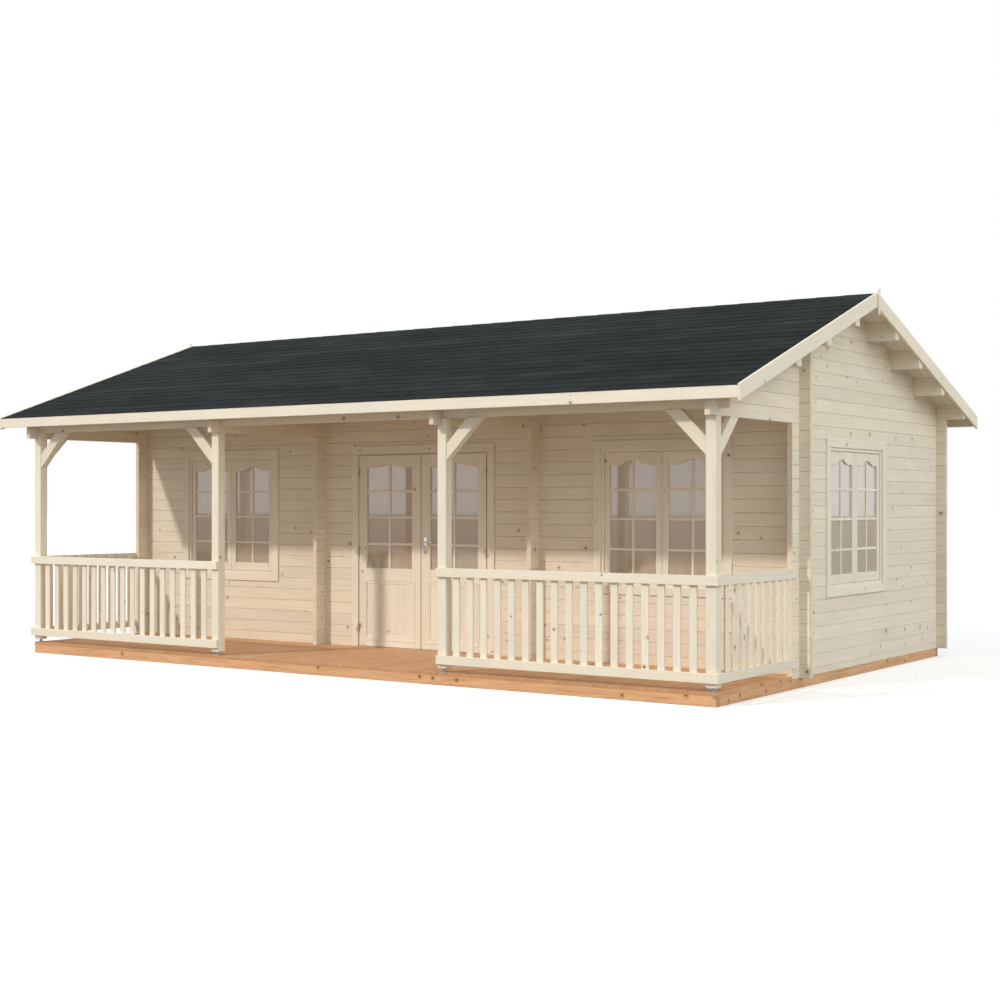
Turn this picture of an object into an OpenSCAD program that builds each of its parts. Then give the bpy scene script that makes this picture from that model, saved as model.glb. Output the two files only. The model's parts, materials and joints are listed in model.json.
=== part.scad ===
// Log cabin with a covered terrace: interlocking log walls, a gable roof on
// purlins, post-and-rail terrace front and a pair of half-glazed doors.
// Millimetres. The terrace faces -Y, the ridge runs along X and lies over Y = 0.
// The ground is Z = 0.

/* [Plan] */
// Length over the outer faces of the two gable walls
cabin_l = 7770; // [7000:10:9400]
// Depth over the outer faces of the front and rear walls
cabin_d = 3369; // [2900:1:4200]
// Depth of the terrace, from the base's front edge to the front wall
terrace_d = 1511; // [1200:1:1900]
// Distance from the middle to each cross wall
cross_x = 1290; // [1150:1:1400]

/* [Logs] */
// Thickness of a wall log
log_t = 44; // [34:1:60]
// Height of a wall log
log_h = 114; // [95:1:137]
// Depth and half height of the V groove between two logs
groove = 5; // [2:0.5:8]
// Length of the front and rear wall logs past the gable walls
end_x = 100; // [60:1:160]
// Length of the gable and cross wall logs past the front and rear walls
end_y = 138; // [80:1:180]
// Length of a cross wall inside the room
stub_l = 400; // [250:10:600]

/* [Base] */
// Height of the bearers
bearer_h = 82; // [60:1:110]
// Width of a bearer or joist
bearer_w = 60; // [46:1:90]
// Thickness of the terrace deck
deck_t = 26; // [20:1:32]
// Thickness of the cabin floor
floor_t = 18; // [15:1:24]

/* [Posts and rails] */
// Side of a square post
post_w = 88; // [75:1:105]
// Height of the screw foot under a post
foot_h = 33; // [24:1:45]
// Distance from the middle to each inner post's centre line
post_x = 1321; // [1250:1:1450]
// Leg of a brace under the front beam, along the post and along the beam
brace_leg = 355; // [280:1:400]
// Width of a brace, measured along the post
brace_w = 140; // [100:1:160]
// Thickness of a brace
brace_t = 70; // [46:1:75]
// Height of a rail board
rail_h = 76; // [60:1:92]
// Thickness of a rail board
rail_t = 28; // [20:1:34]
// Underside of the lower rail above the ground
rail_low = 177; // [150:1:215]
// Underside of the upper rail above the ground
rail_top = 912; // [760:1:1000]
// Width of a baluster board
baluster_w = 64; // [50:1:77]
// Thickness of a baluster board
baluster_t = 18; // [14:1:22]
// Balusters in each front railing
balusters_front = 17; // [12:1:19]
// Balusters in each side railing
balusters_side = 9; // [6:1:10]

/* [Roof] */
// Roof pitch in degrees
roof_pitch = 19.5; // [16:0.5:24]
// Whole courses in the rear wall
eave_courses = 21; // [20:1:22]
// Overhang of the fascias in front of the base and behind the rear wall's mirror line
eave_over = 201; // [160:1:260]
// Distance from the gable walls to the outer face of the bargeboards
verge_over = 298; // [240:1:360]
// Purlins on each slope
purlins_each = 3; // [2:1:3]
// Distance from the middle of the two rows of purlins to the first on each side
purlin_first = 465; // [420:5:500]
// Distance between purlins
purlin_pitch = 603; // [540:1:620]
// How far the rows of purlins sit behind the ridge line
purlin_shift = 60; // [-60:5:60]
// Width and depth of a purlin
purlin_w = 90; // [60:1:100]
purlin_h = 155; // [120:1:170]
// Thickness of the roof boards
board_t = 19; // [16:1:24]
// Thickness of the roof covering
cover_t = 5; // [3:0.5:8]
// Thickness of fascias and bargeboards
trim_t = 20; // [16:1:26]
// Height of a fascia
fascia_h = 94; // [76:1:110]
// Height of a bargeboard, measured upright
barge_h = 127; // [100:1:150]

/* [Windows] */
// Distance from the middle to each front window
window_x = 2588; // [2450:1:2700]
// Position of the gable windows, from the ridge line towards the back
window_y = 249; // [-200:1:400]
// Width and height of a window's hole in the wall
window_w = 1250; // [1050:10:1300]
window_h = 1246; // [1040:1:1260]
// Underside of the window hole above the ground
window_z = 783; // [700:1:860]
// Width of a casing board
casing_w = 75; // [60:1:85]
// Thickness of a casing board
casing_t = 16; // [12:1:20]
// Thickness of a window frame's head, sill and sides
frame_w = 42; // [30:1:50]
// Width of a sash's outer stile, of a meeting stile, and height of its bottom rail
sash_stile = 50; // [40:1:60]
sash_meeting = 60; // [50:1:72]
sash_bottom = 83; // [65:1:110]
// Height of a sash's top rail over the glass, at the corners and at the crown
sash_head = 118; // [100:1:150]
crown = 46; // [35:1:55]
// Thickness of a sash, and the distance of its middle behind the middle of the wall
sash_t = 36; // [30:1:40]
sash_y = 10; // [0:1:12]
// Thickness of the glass
glass_t = 4; // [3:1:6]

/* [Doors] */
// Position of the doorway's middle along the front wall
door_x = -45; // [-100:5:100]
// Width of the doorway in the wall
door_w = 1590; // [1500:10:1640]
// Height of the doorway's head above the ground
door_z = 2029; // [1980:1:2070]
// Thickness of the doorway's lining
lining_t = 20; // [16:1:26]
// Thickness of a door leaf
leaf_t = 40; // [36:1:44]
// Width of a leaf's outer stile and of its meeting stile
leaf_stile = 95; // [80:1:115]
leaf_meeting = 112; // [95:1:125]
// Height of the leaf below its glass
leaf_solid = 774; // [700:1:850]
// Height of a leaf's top rail over the glass, at the corners
leaf_head = 123; // [100:1:145]
// Rise of the crown over a leaf's glass
leaf_crown = 36; // [25:1:50]
// Height of the threshold
sill_h = 30; // [26:1:36]
// Height of the door handle above the ground
handle_z = 1152; // [1050:1:1200]

/* [Hidden] */
$fn = 32;

spruce = "burlywood";
larch = "peru";
pale = "wheat";
felt = "darkslategray";
steel = "silver";
pane = "lightblue";

// Plan lines. The ridge is over the middle between the two eaves.
seat = 0.3;            // gap where sloped or fitted faces meet
notch_gap = 0.5;       // play between two logs in a corner joint
run_gap = 5;           // gap round a door leaf
base_d = terrace_d + cabin_d;
roof_half = base_d / 2 + (eave_over + 326) / 2;
base_front = -roof_half + eave_over;
base_rear = base_front + base_d;
front_face = base_front + terrace_d;
front_y = front_face + log_t / 2;
rear_y = base_rear - log_t / 2;
gable_x = cabin_l / 2 - log_t / 2;
beam_y = base_front + post_w / 2;
post_outer_x = cabin_l / 2 - post_w / 2;
tie_end_y = beam_y - log_t / 2 - end_y + 12;
verge_x = cabin_l / 2 + verge_over;
purlin_end_x = verge_x - trim_t - seat;
beam_end_x = cabin_l / 2 + 200;

// Heights
wall_z = bearer_h;
deck_z = bearer_h + deck_t;
floor_z = bearer_h + floor_t;
tie_course = eave_courses - 2.5;
tie_z = wall_z + tie_course * log_h;
beam_z = tie_z + log_h / 2;
post_z = deck_z + foot_h;
big = 20000;

// Roof planes: each gives the height at the distance d from the ridge line
slope = tan(roof_pitch);
board_v = board_t / cos(roof_pitch);
cover_v = cover_t / cos(roof_pitch);
beam_seat = 12;
under_ridge = wall_z + eave_courses * log_h - beam_seat - beam_y * slope;
function under_z(d) = under_ridge - d * slope;
function board_top_z(d) = under_z(d) + board_v + seat;
function cover_top_z(d) = board_top_z(d) + cover_v;

// Door leaf
leaf_x0 = run_gap / 2 + 2;
leaf_x1 = door_w / 2 - lining_t - run_gap;
leaf_z0 = bearer_h + sill_h + run_gap;
leaf_z1 = door_z - lining_t - run_gap;
leaf_face = front_face - 11;
hinge_r = 7;
hinge_x = door_w / 2 - lining_t;
hinge_y = front_face - casing_t - hinge_r;
hinge_len = 40;
hinge_heights = [leaf_z0 + 180, (leaf_z0 + leaf_z1) / 2, leaf_z1 - 180];

// ---- Helpers ----

// A flat shape given in (y, z), drawn out along X
module along_x(x0, x1) {
    translate([x0, 0, 0]) rotate([90, 0, 90]) linear_extrude(x1 - x0) children();
}

// A flat shape given in (x, z), drawn out along Y
module along_y(y0, y1) {
    translate([0, y1, 0]) rotate([90, 0, 0]) linear_extrude(y1 - y0) children();
}

module box(low, high) {
    translate(low) cube(high - low);
}

module both_sides() {
    children();
    mirror([1, 0, 0]) children();
}

// Heights of the joints in a wall: whole courses, or a half log first
function edges(first, courses) =
    first == 0 ? [for (i = [0:courses]) wall_z + i * log_h]
               : concat([wall_z], [for (i = [0:courses]) wall_z + first + i * log_h]);

function groove_side(e, side) = [
    for (i = [0:len(e) - 2]) each [
        [side * log_t / 2, e[i] + (i == 0 ? 0 : groove)],
        [side * log_t / 2, e[i + 1] - (i == len(e) - 2 ? 0 : groove)],
        if (i < len(e) - 2) [side * (log_t / 2 - groove), e[i + 1]]
    ]
];

function flipped(points) = [for (i = [len(points) - 1:-1:0]) points[i]];

// Cross-section of a stack of logs
module log_section(e) {
    polygon(concat(groove_side(e, 1), flipped(groove_side(e, -1))));
}

// Logs that run along X, standing on the base, centred on y
module logs_x(x0, x1, y, courses) {
    translate([0, y, 0]) along_x(x0, x1) log_section(edges(0, courses));
}

// Logs that run along Y start with half a log, so that the corners interlock
module logs_y(x, y0, y1, courses) {
    translate([x, 0, 0]) along_y(y0, y1) log_section(edges(log_h / 2, courses));
}

// Half-lap notches at a crossing. Walls along X give way at whole courses,
// walls along Y half a course higher.
module notches(x, y, first, last) {
    size = log_t + 2 * notch_gap;
    tall = log_h / 2 + notch_gap;
    for (k = [first:last]) translate([x, y, wall_z + k * log_h]) cube([size, size, tall], center = true);
}

// The space under the roof boards, where walls and purlins may stand
module under_roof() {
    peak = under_z(0) - seat;
    foot = under_z(roof_half) - seat;
    along_x(-big, big)
        polygon([[-roof_half, 0], [roof_half, 0], [roof_half, foot], [0, peak], [-roof_half, foot]]);
}

// Distances of one slope's purlins from the ridge line
function purlin_lines(shift) = [for (i = [0:purlins_each - 1]) purlin_first + shift + i * purlin_pitch];

// Section of one purlin on the rear slope, its top planed to the roof boards
module purlin_section(d, play) {
    low = under_z(d) - purlin_h;
    half = purlin_w / 2 + play;
    top = play > 0 ? purlin_h : -seat;
    polygon([[d - half, low - play], [d + half, low - play],
             [d + half, under_z(d + half) + top], [d - half, under_z(d - half) + top]]);
}

module purlin_row(x0, x1, play) {
    for (d = purlin_lines(purlin_shift)) along_x(x0, x1) purlin_section(d, play);
    for (d = purlin_lines(-purlin_shift)) mirror([0, 1, 0]) along_x(x0, x1) purlin_section(d, play);
}

// ---- Base ----

module base_frame() {
    color(larch) {
        half = cabin_l / 2;
        joist_pitch = cross_x / 2;
        joists = floor((half - bearer_w) / joist_pitch);
        box([-half, base_front, 0], [half, base_front + bearer_w, bearer_h]);
        box([-half, base_rear - bearer_w, 0], [half, base_rear, bearer_h]);
        box([-half, front_y - bearer_w / 2, 0], [half, front_y + bearer_w / 2, bearer_h]);
        both_sides() box([half - bearer_w, base_front, 0], [half, base_rear, bearer_h]);
        for (i = [-joists:joists])
            if (abs(i) * joist_pitch < half - 1.5 * bearer_w - 20)
                translate([i * joist_pitch, 0, 0])
                    box([-bearer_w / 2, base_front, 0], [bearer_w / 2, base_rear, bearer_h]);
    }
}

module terrace_deck() {
    gap = 3;
    color(larch) difference() {
        box([-cabin_l / 2, base_front, bearer_h], [cabin_l / 2, front_face - gap, deck_z]);
        for (x = [-gable_x, -cross_x, cross_x, gable_x])
            translate([x, front_face, deck_z])
                cube([log_t + 2 * gap, 2 * (end_y + gap), 4 * deck_t], center = true);
    }
}

module cabin_floor() {
    gap = 3;
    color(pale) difference() {
        box([-gable_x + log_t / 2 + gap, front_y + log_t / 2 + gap, bearer_h],
            [gable_x - log_t / 2 - gap, rear_y - log_t / 2 - gap, floor_z]);
        for (x = [-cross_x, cross_x])
            for (y = [front_y + log_t / 2, rear_y - log_t / 2])
                translate([x, y, floor_z])
                    cube([log_t + 2 * gap, 2 * (stub_l + gap), 4 * floor_t], center = true);
    }
}

// ---- Log walls ----

module window_hole() {
    translate([0, 0, window_z + window_h / 2]) cube([window_w, 4 * log_t, window_h], center = true);
}

// Seen from the side: full height between front and rear, and above the tie
// log forward over the terrace to the posts.
module gable_outline() {
    polygon([[front_face - end_y, 0], [base_rear + end_y, 0], [base_rear + end_y, big],
             [tie_end_y, big], [tie_end_y, tie_z], [front_face - end_y, tie_z]]);
}

module gable_wall() {
    top_courses = ceil((under_z(0) - wall_z) / log_h);
    color(spruce) difference() {
        intersection() {
            logs_y(gable_x, tie_end_y - 1, base_rear + end_y + 1, top_courses);
            along_x(0, big) gable_outline();
            under_roof();
        }
        notches(gable_x, front_y, 0.5, top_courses + 0.5);
        notches(gable_x, rear_y, 0.5, top_courses + 0.5);
        notches(gable_x, beam_y, tie_course + 1, top_courses + 0.5);
        purlin_row(gable_x - log_t, gable_x + log_t, seat);
        translate([gable_x, window_y, 0]) rotate([0, 0, 90]) window_hole();
    }
}

// A wall along X. Where a purlin lies over it, the logs are cut back to carry it.
module long_wall(x0, x1, y, courses) {
    difference() {
        intersection() {
            logs_x(x0, x1, y, courses);
            under_roof();
        }
        for (x = [-gable_x, -cross_x, cross_x, gable_x]) notches(x, y, 0, courses);
        purlin_row(x0 - 1, x1 + 1, seat);
    }
}

module rear_wall() {
    top = cabin_l / 2 + end_x;
    color(spruce) {
        long_wall(-top, top, rear_y, eave_courses + 1);
        both_sides() eave_log_end(rear_y, top - 1, purlin_end_x);
    }
}

// The topmost log under the eaves reaches out under the verge like a purlin
module eave_log_end(y, x0, x1) {
    z0 = wall_z + (eave_courses - 1) * log_h;
    intersection() {
        box([x0, y - log_t / 2, z0], [x1, y + log_t / 2, z0 + 2 * log_h]);
        under_roof();
    }
}

front_courses = ceil((under_z(-front_y) - wall_z) / log_h) + 1;
wall_end = cabin_l / 2 + end_x;
door_left = door_x - door_w / 2;
door_right = door_x + door_w / 2;

module front_wall_left() {
    color(spruce) difference() {
        long_wall(-wall_end, door_left, front_y, front_courses);
        translate([-window_x, front_y, 0]) window_hole();
    }
}

module front_wall_right() {
    color(spruce) difference() {
        long_wall(door_right, wall_end, front_y, front_courses);
        translate([window_x, front_y, 0]) window_hole();
    }
}

module front_wall_over_door() {
    color(spruce) intersection() {
        long_wall(door_left, door_right, front_y, front_courses);
        box([-big, -big, door_z], [big, big, big]);
    }
}

// Log ends of the cross walls at the front and the rear wall
module cross_wall() {
    color(spruce) {
        difference() {
            intersection() {
                logs_y(cross_x, front_face - end_y, front_y + log_t / 2 + stub_l, tie_course);
                box([0, -big, 0], [big, big, tie_z]);
            }
            notches(cross_x, front_y, 0.5, tie_course);
        }
        difference() {
            intersection() {
                logs_y(cross_x, rear_y - log_t / 2 - stub_l, base_rear + end_y, tie_course);
                box([0, -big, 0], [big, big, tie_z]);
            }
            notches(cross_x, rear_y, 0.5, tie_course);
        }
    }
}

// Tie log from the inner post to the rear wall, with logs over it up to the
// purlins, open below
module tie_wall() {
    top_courses = ceil((under_z(0) - wall_z) / log_h);
    color(spruce) difference() {
        intersection() {
            logs_y(cross_x, tie_end_y, base_rear + end_y, top_courses);
            box([0, -big, tie_z], [big, big, big]);
            under_roof();
        }
        for (y = [front_y, rear_y]) notches(cross_x, y, tie_course, top_courses + 0.5);
        notches(cross_x, beam_y, tie_course + 1, top_courses + 0.5);
        purlin_row(cross_x - log_t, cross_x + log_t, seat);
    }
}

// ---- Terrace front ----

module front_beam() {
    low = tie_course + 0.5;
    color(spruce) {
        difference() {
            intersection() {
                logs_x(-wall_end, wall_end, beam_y, eave_courses + 1);
                box([-big, -big, beam_z], [big, big, big]);
                under_roof();
            }
            for (x = [-gable_x, -cross_x, cross_x, gable_x]) notches(x, beam_y, low, eave_courses + 1);
        }
        both_sides() eave_log_end(beam_y, wall_end - 1, beam_end_x);
    }
}

// A post reaches the beam and is housed round the tie log
module post(x, tie_x) {
    color(pale) difference() {
        box([x - post_w / 2, beam_y - post_w / 2, post_z], [x + post_w / 2, beam_y + post_w / 2, beam_z]);
        box([tie_x - log_t / 2 - seat, -big, tie_z], [tie_x + log_t / 2 + seat, big, big]);
    }
}

module post_foot(x) {
    plate = 6;
    translate([x, beam_y, deck_z]) {
        translate([-40, -40, 0]) cube([80, 80, plate]);
        cylinder(d = 20, h = foot_h);
        translate([-35, -35, foot_h - plate]) cube([70, 70, plate]);
    }
}

module post_feet() {
    color(steel) for (x = [-post_outer_x, -post_x, post_x, post_outer_x]) post_foot(x);
}

// Diagonal in the plane of the posts. It leans away from the post's face
// and ends square under the beam.
module brace_outline(top, leg) {
    polygon([[0, top - leg], [leg, top], [leg - brace_w, top], [0, top - leg + brace_w]]);
}

// The side braces leave the posts at the same height as the front ones
module post_braces() {
    in_beam = post_w / 2;
    side_leg = brace_leg - (beam_z - tie_z);
    color(pale) both_sides() {
        translate([post_outer_x - in_beam, 0, 0]) mirror([1, 0, 0])
            along_y(beam_y - brace_t / 2, beam_y + brace_t / 2) brace_outline(beam_z, brace_leg);
        translate([post_x + in_beam, 0, 0])
            along_y(beam_y - brace_t / 2, beam_y + brace_t / 2) brace_outline(beam_z, brace_leg);
        translate([0, beam_y + in_beam, 0])
            along_x(gable_x - log_t / 2, gable_x + log_t / 2) brace_outline(tie_z, side_leg);
    }
}

// Two rails with boards behind them. Length along X from x0 to x1, the
// boards are spaced evenly between clear0 and clear1.
module railing(x0, x1, clear0, clear1, count) {
    gap = (clear1 - clear0 - count * baluster_w) / (count + 1);
    for (z = [rail_low, rail_top]) box([x0, -rail_t, z], [x1, 0, z + rail_h]);
    for (i = [0:count - 1])
        translate([clear0 + gap + i * (gap + baluster_w), 0, 0])
            box([0, -1, rail_low + 4], [baluster_w, baluster_t, rail_top + rail_h - 4]);
}

module railing_front() {
    color(pale) translate([0, base_front, 0])
        railing(post_x - post_w / 2, cabin_l / 2 + rail_t,
                post_x + post_w / 2, cabin_l / 2 - post_w, balusters_front);
}

// The side rails run from the front rails past the log ends' corners
module railing_side() {
    start = base_front + seat;
    lap = 60;
    color(pale) translate([cabin_l / 2, 0, 0]) rotate([0, 0, 90])
        railing(start, front_face - end_y + lap, base_front + post_w, front_face - end_y, balusters_side);
}

// ---- Roof ----

module purlins() {
    color(pale) purlin_row(-purlin_end_x, purlin_end_x, 0);
}

// A layer on the rear slope between two heights over the boards' underside
module slope_layer(low, high, d1) {
    along_x(-verge_x + trim_t + seat, verge_x - trim_t - seat)
        polygon([[seat / 2, under_z(0) + low], [d1, under_z(d1) + low],
                 [d1, under_z(d1) + high], [seat / 2, under_z(0) + high]]);
}

module roof_boards_rear() {
    color(pale) slope_layer(0, board_v, roof_half - trim_t - seat);
}

module roof_boards_front() {
    color(pale) mirror([0, 1, 0]) slope_layer(0, board_v, roof_half - trim_t - seat);
}

module roof_cover_rear() {
    color(felt) slope_layer(board_v + seat, board_v + seat + cover_v, roof_half + 4);
}

module roof_cover_front() {
    color(felt) mirror([0, 1, 0]) slope_layer(board_v + seat, board_v + seat + cover_v, roof_half + 4);
}

module ridge_cap() {
    reach = 160;
    low = seat;
    high = low + cover_v;
    color(felt) along_x(-verge_x + trim_t + seat, verge_x - trim_t - seat)
        polygon([[0, cover_top_z(0) + high], [reach, cover_top_z(reach) + high],
                 [reach, cover_top_z(reach) + low], [0, cover_top_z(0) + low],
                 [-reach, cover_top_z(reach) + low], [-reach, cover_top_z(reach) + high]]);
}

module fascia() {
    inner = roof_half - trim_t;
    top = board_top_z(roof_half) - seat;
    box([-verge_x + trim_t + seat, inner, top - fascia_h], [verge_x - trim_t - seat, roof_half, top - 1]);
}

module eaves_fascias() {
    color(pale) {
        fascia();
        mirror([0, 1, 0]) fascia();
    }
}

// Bargeboards stand 6 mm over the roof covering and meet plumb at the apex
module barge_outline() {
    d1 = roof_half + 4;
    top = 6;
    polygon([[seat, cover_top_z(0) + top], [d1, cover_top_z(d1) + top],
             [d1, cover_top_z(d1) + top - barge_h], [seat, cover_top_z(0) + top - barge_h]]);
}

module bargeboards() {
    color(pale) {
        along_x(verge_x - trim_t, verge_x) barge_outline();
        mirror([0, 1, 0]) along_x(verge_x - trim_t, verge_x) barge_outline();
    }
}

module apex_battens() {
    tall = 228;
    over = 32;
    color(pale) both_sides()
        box([verge_x, -14, cover_top_z(0) + over - tall], [verge_x + 18, 14, cover_top_z(0) + over]);
}

// ---- Windows ----

// Glass shape with a crowned head: level at the corners and raised in the
// middle by a smooth wave
module crowned(w, h, rise) {
    steps = 16;
    wave = 0.34 * w;
    polygon(concat([[0, 0], [w, 0], [w, h]],
        [for (i = [0:steps]) let (t = 1 - 2 * i / steps)
            [w / 2 + wave * t, h + rise * (1 + cos(180 * t)) / 2]],
        [[0, h]]));
}

module window_pane_shapes(play) {
    half = window_w / 2 - frame_w;
    glass_w = half - sash_stile - sash_meeting;
    glass_h = window_h - 2 * frame_w - sash_bottom - sash_head;
    for (x = [-half + sash_stile, sash_meeting])
        translate([x + play, window_z + frame_w + sash_bottom + play])
            crowned(glass_w - 2 * play, glass_h - 2 * play, crown);
}

module ring(outer_w, inner_w, z0, z1, inner_z0, inner_z1) {
    difference() {
        translate([-outer_w / 2, z0]) square([outer_w, z1 - z0]);
        translate([-inner_w / 2, inner_z0]) square([inner_w, inner_z1 - inner_z0]);
    }
}

// Casings, frame and two sashes, for a wall along X centred on y = 0 and
// facing -Y. The casings lap over part of the frame.
module window_unit() {
    half_t = log_t / 2;
    top = window_z + window_h;
    step = 14;
    cover = casing_w - step;
    for (y = [-half_t - casing_t, half_t])
        along_y(y, y + casing_t)
            ring(window_w + 2 * cover, window_w - 2 * step, window_z - cover, top + cover,
                 window_z + step, top - step);
    along_y(-half_t - 1, half_t + 1)
        ring(window_w - 2 * seat, window_w - 2 * frame_w, window_z + seat, top - seat,
             window_z + frame_w, top - frame_w);
    along_y(sash_y - sash_t / 2, sash_y + sash_t / 2) difference() {
        translate([-window_w / 2 + frame_w - 1, window_z + frame_w - 1])
            square([window_w - 2 * frame_w + 2, window_h - 2 * frame_w + 2]);
        window_pane_shapes(0);
    }
}

module window_panes() {
    along_y(sash_y - glass_t / 2, sash_y + glass_t / 2) window_pane_shapes(seat);
}

module at_front_window() {
    translate([window_x, front_y, 0]) children();
}

module at_gable_window() {
    translate([gable_x, window_y, 0]) rotate([0, 0, 90]) children();
}

module window_glass() {
    color(pane) both_sides() {
        at_front_window() window_panes();
        at_gable_window() window_panes();
    }
}

// ---- Doors ----

module hinge_knuckle(z) {
    translate([hinge_x, hinge_y, z]) cylinder(r = hinge_r, h = hinge_len);
}

module door_frame() {
    low = bearer_h + sill_h;
    step = lining_t - 10;
    cover = 863 - door_w / 2;
    half_t = log_t / 2;
    head = door_z;
    translate([door_x, 0, 0]) {
        color(pale) {
            for (y = [front_face - casing_t, front_y + half_t])
                along_y(y, y + casing_t) difference() {
                    translate([-door_w / 2 - cover, deck_z + 1])
                        square([door_w + 2 * cover, head + cover - deck_z - 1]);
                    translate([-door_w / 2 + step, 0]) square([door_w - 2 * step, head - step]);
                }
            along_y(front_face - 1, front_y + half_t + 1) difference() {
                translate([-door_w / 2 + seat, bearer_h])
                    square([door_w - 2 * seat, head - bearer_h - seat]);
                translate([-door_w / 2 + lining_t, low])
                    square([door_w - 2 * lining_t, head - low - lining_t]);
            }
            stop_y = leaf_face + leaf_t + run_gap;
            along_y(stop_y, front_y + half_t) difference() {
                translate([-door_w / 2 + lining_t - 1, bearer_h + 1])
                    square([door_w - 2 * lining_t + 2, head - bearer_h - lining_t]);
                translate([-door_w / 2 + lining_t + 14, 0])
                    square([door_w - 2 * lining_t - 28, head - lining_t - 14]);
            }
        }
        color(steel) both_sides() for (z = hinge_heights) {
            hinge_knuckle(z - hinge_len);
            box([hinge_x, hinge_y, z - hinge_len], [hinge_x + 30, front_face - casing_t + 1, z]);
        }
    }
}

module leaf_pane_shape(play) {
    glass_w = leaf_x1 - leaf_stile - leaf_meeting;
    glass_h = leaf_z1 - leaf_z0 - leaf_solid - leaf_head;
    translate([leaf_meeting + play, leaf_z0 + leaf_solid + play])
        crowned(glass_w - 2 * play, glass_h - 2 * play, leaf_crown);
}

// The right leaf. The left one is its mirror image about the doorway's middle.
module door_leaf() {
    color(pale) along_y(leaf_face, leaf_face + leaf_t) difference() {
        translate([leaf_x0, leaf_z0]) square([leaf_x1 - leaf_x0, leaf_z1 - leaf_z0]);
        leaf_pane_shape(0);
    }
    color(steel) for (z = hinge_heights) {
        hinge_knuckle(z + seat);
        box([leaf_x1 - 30, hinge_y, z + seat], [hinge_x, leaf_face + 1, z + seat + hinge_len]);
    }
}

module door_glass() {
    middle = leaf_face + leaf_t / 2;
    color(pane) along_y(middle - glass_t / 2, middle + glass_t / 2) leaf_pane_shape(seat);
}

module lever(side) {
    x = leaf_meeting / 2;
    y = side < 0 ? leaf_face : leaf_face + leaf_t;
    translate([x, y, handle_z]) {
        translate([-17, side < 0 ? -6 : 0, -110]) cube([34, 6, 160]);
        rotate([side < 0 ? 90 : -90, 0, 0]) cylinder(d = 18, h = 42);
        translate([0, side * 42, 0]) rotate([0, 90, 0]) cylinder(d = 18, h = 115);
        translate([0, side * 42, 0]) sphere(d = 18);
    }
}

module door_handle() {
    color(steel) {
        lever(-1);
        lever(1);
    }
}

module left_half() {
    mirror([1, 0, 0]) children();
}

module at_doorway() {
    translate([door_x, 0, 0]) children();
}

base_frame();
terrace_deck();
cabin_floor();
left_half() gable_wall();  // gable_wall_left
gable_wall();  // gable_wall_right
rear_wall();
front_wall_left();
front_wall_right();
front_wall_over_door();
left_half() cross_wall();  // cross_wall_left
cross_wall();  // cross_wall_right
left_half() tie_wall();  // tie_wall_left
tie_wall();  // tie_wall_right
front_beam();
left_half() post(post_outer_x, gable_x);  // post_outer_left
left_half() post(post_x, cross_x);  // post_inner_left
post(post_x, cross_x);  // post_inner_right
post(post_outer_x, gable_x);  // post_outer_right
post_feet();
post_braces();
left_half() railing_front();  // railing_front_left
railing_front();  // railing_front_right
left_half() railing_side();  // railing_side_left
railing_side();  // railing_side_right
purlins();
roof_boards_front();
roof_boards_rear();
roof_cover_front();
roof_cover_rear();
ridge_cap();
eaves_fascias();
left_half() bargeboards();  // bargeboards_left
bargeboards();  // bargeboards_right
apex_battens();
left_half() at_front_window() window_unit();  // window_front_left
at_front_window() window_unit();  // window_front_right
left_half() at_gable_window() window_unit();  // window_gable_left
at_gable_window() window_unit();  // window_gable_right
window_glass();
door_frame();
at_doorway() left_half() door_leaf();  // door_leaf_left
at_doorway() door_leaf();  // door_leaf_right
at_doorway() left_half() door_glass();  // door_glass_left
at_doorway() door_glass();  // door_glass_right
at_doorway() door_handle();
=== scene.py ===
"""Looks for the log cabin: logs, boards, shingles, sashes and door leaves, each built over the frame."""

import json
import math
import random

import bmesh
import bpy
from mathutils import Matrix, Vector


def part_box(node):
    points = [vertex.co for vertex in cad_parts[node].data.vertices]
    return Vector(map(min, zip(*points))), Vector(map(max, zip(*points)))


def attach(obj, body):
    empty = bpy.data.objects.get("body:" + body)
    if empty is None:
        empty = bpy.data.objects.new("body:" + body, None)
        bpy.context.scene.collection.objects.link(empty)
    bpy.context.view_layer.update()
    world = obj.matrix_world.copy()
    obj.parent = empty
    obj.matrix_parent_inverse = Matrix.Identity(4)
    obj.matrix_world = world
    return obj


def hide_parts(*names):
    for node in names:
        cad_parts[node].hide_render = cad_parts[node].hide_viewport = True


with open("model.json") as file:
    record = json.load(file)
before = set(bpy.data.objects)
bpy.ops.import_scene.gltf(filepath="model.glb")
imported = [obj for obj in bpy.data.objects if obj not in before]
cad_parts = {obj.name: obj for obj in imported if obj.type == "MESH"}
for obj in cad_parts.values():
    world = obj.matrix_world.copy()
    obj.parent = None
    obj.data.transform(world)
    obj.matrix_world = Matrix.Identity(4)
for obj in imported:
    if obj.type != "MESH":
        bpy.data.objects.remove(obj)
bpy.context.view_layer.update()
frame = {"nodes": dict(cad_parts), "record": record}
dice = random.Random(11)

# ---- Sizes that the cabin's pieces share, in metres ----
LOG_H = 0.114
LOG_T = 0.044
PITCH = math.radians(19.5)
SLOPE = math.tan(PITCH)
STUB = 0.400
BOARD_T = 0.019
CASING_T = 0.016
SIDES = ((-1, "left"), (1, "right"))
SLOPES = ((-1, "front"), (1, "rear"))
# PLAY keeps neighbours from sharing a face, HAIR is the step between boards that meet and RUN the gap
# round a door leaf.
PLAY, HAIR, RUN = 0.0003, 0.0005, 0.005


def pair(side, a, b):
    """Two distances from the middle on one side of it, the lower first."""
    return sorted((side * a, side * b))


def middle(node, axis):
    """Where a node's box has its middle on one axis."""
    low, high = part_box(node)
    return (getattr(low, axis) + getattr(high, axis)) / 2


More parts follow.
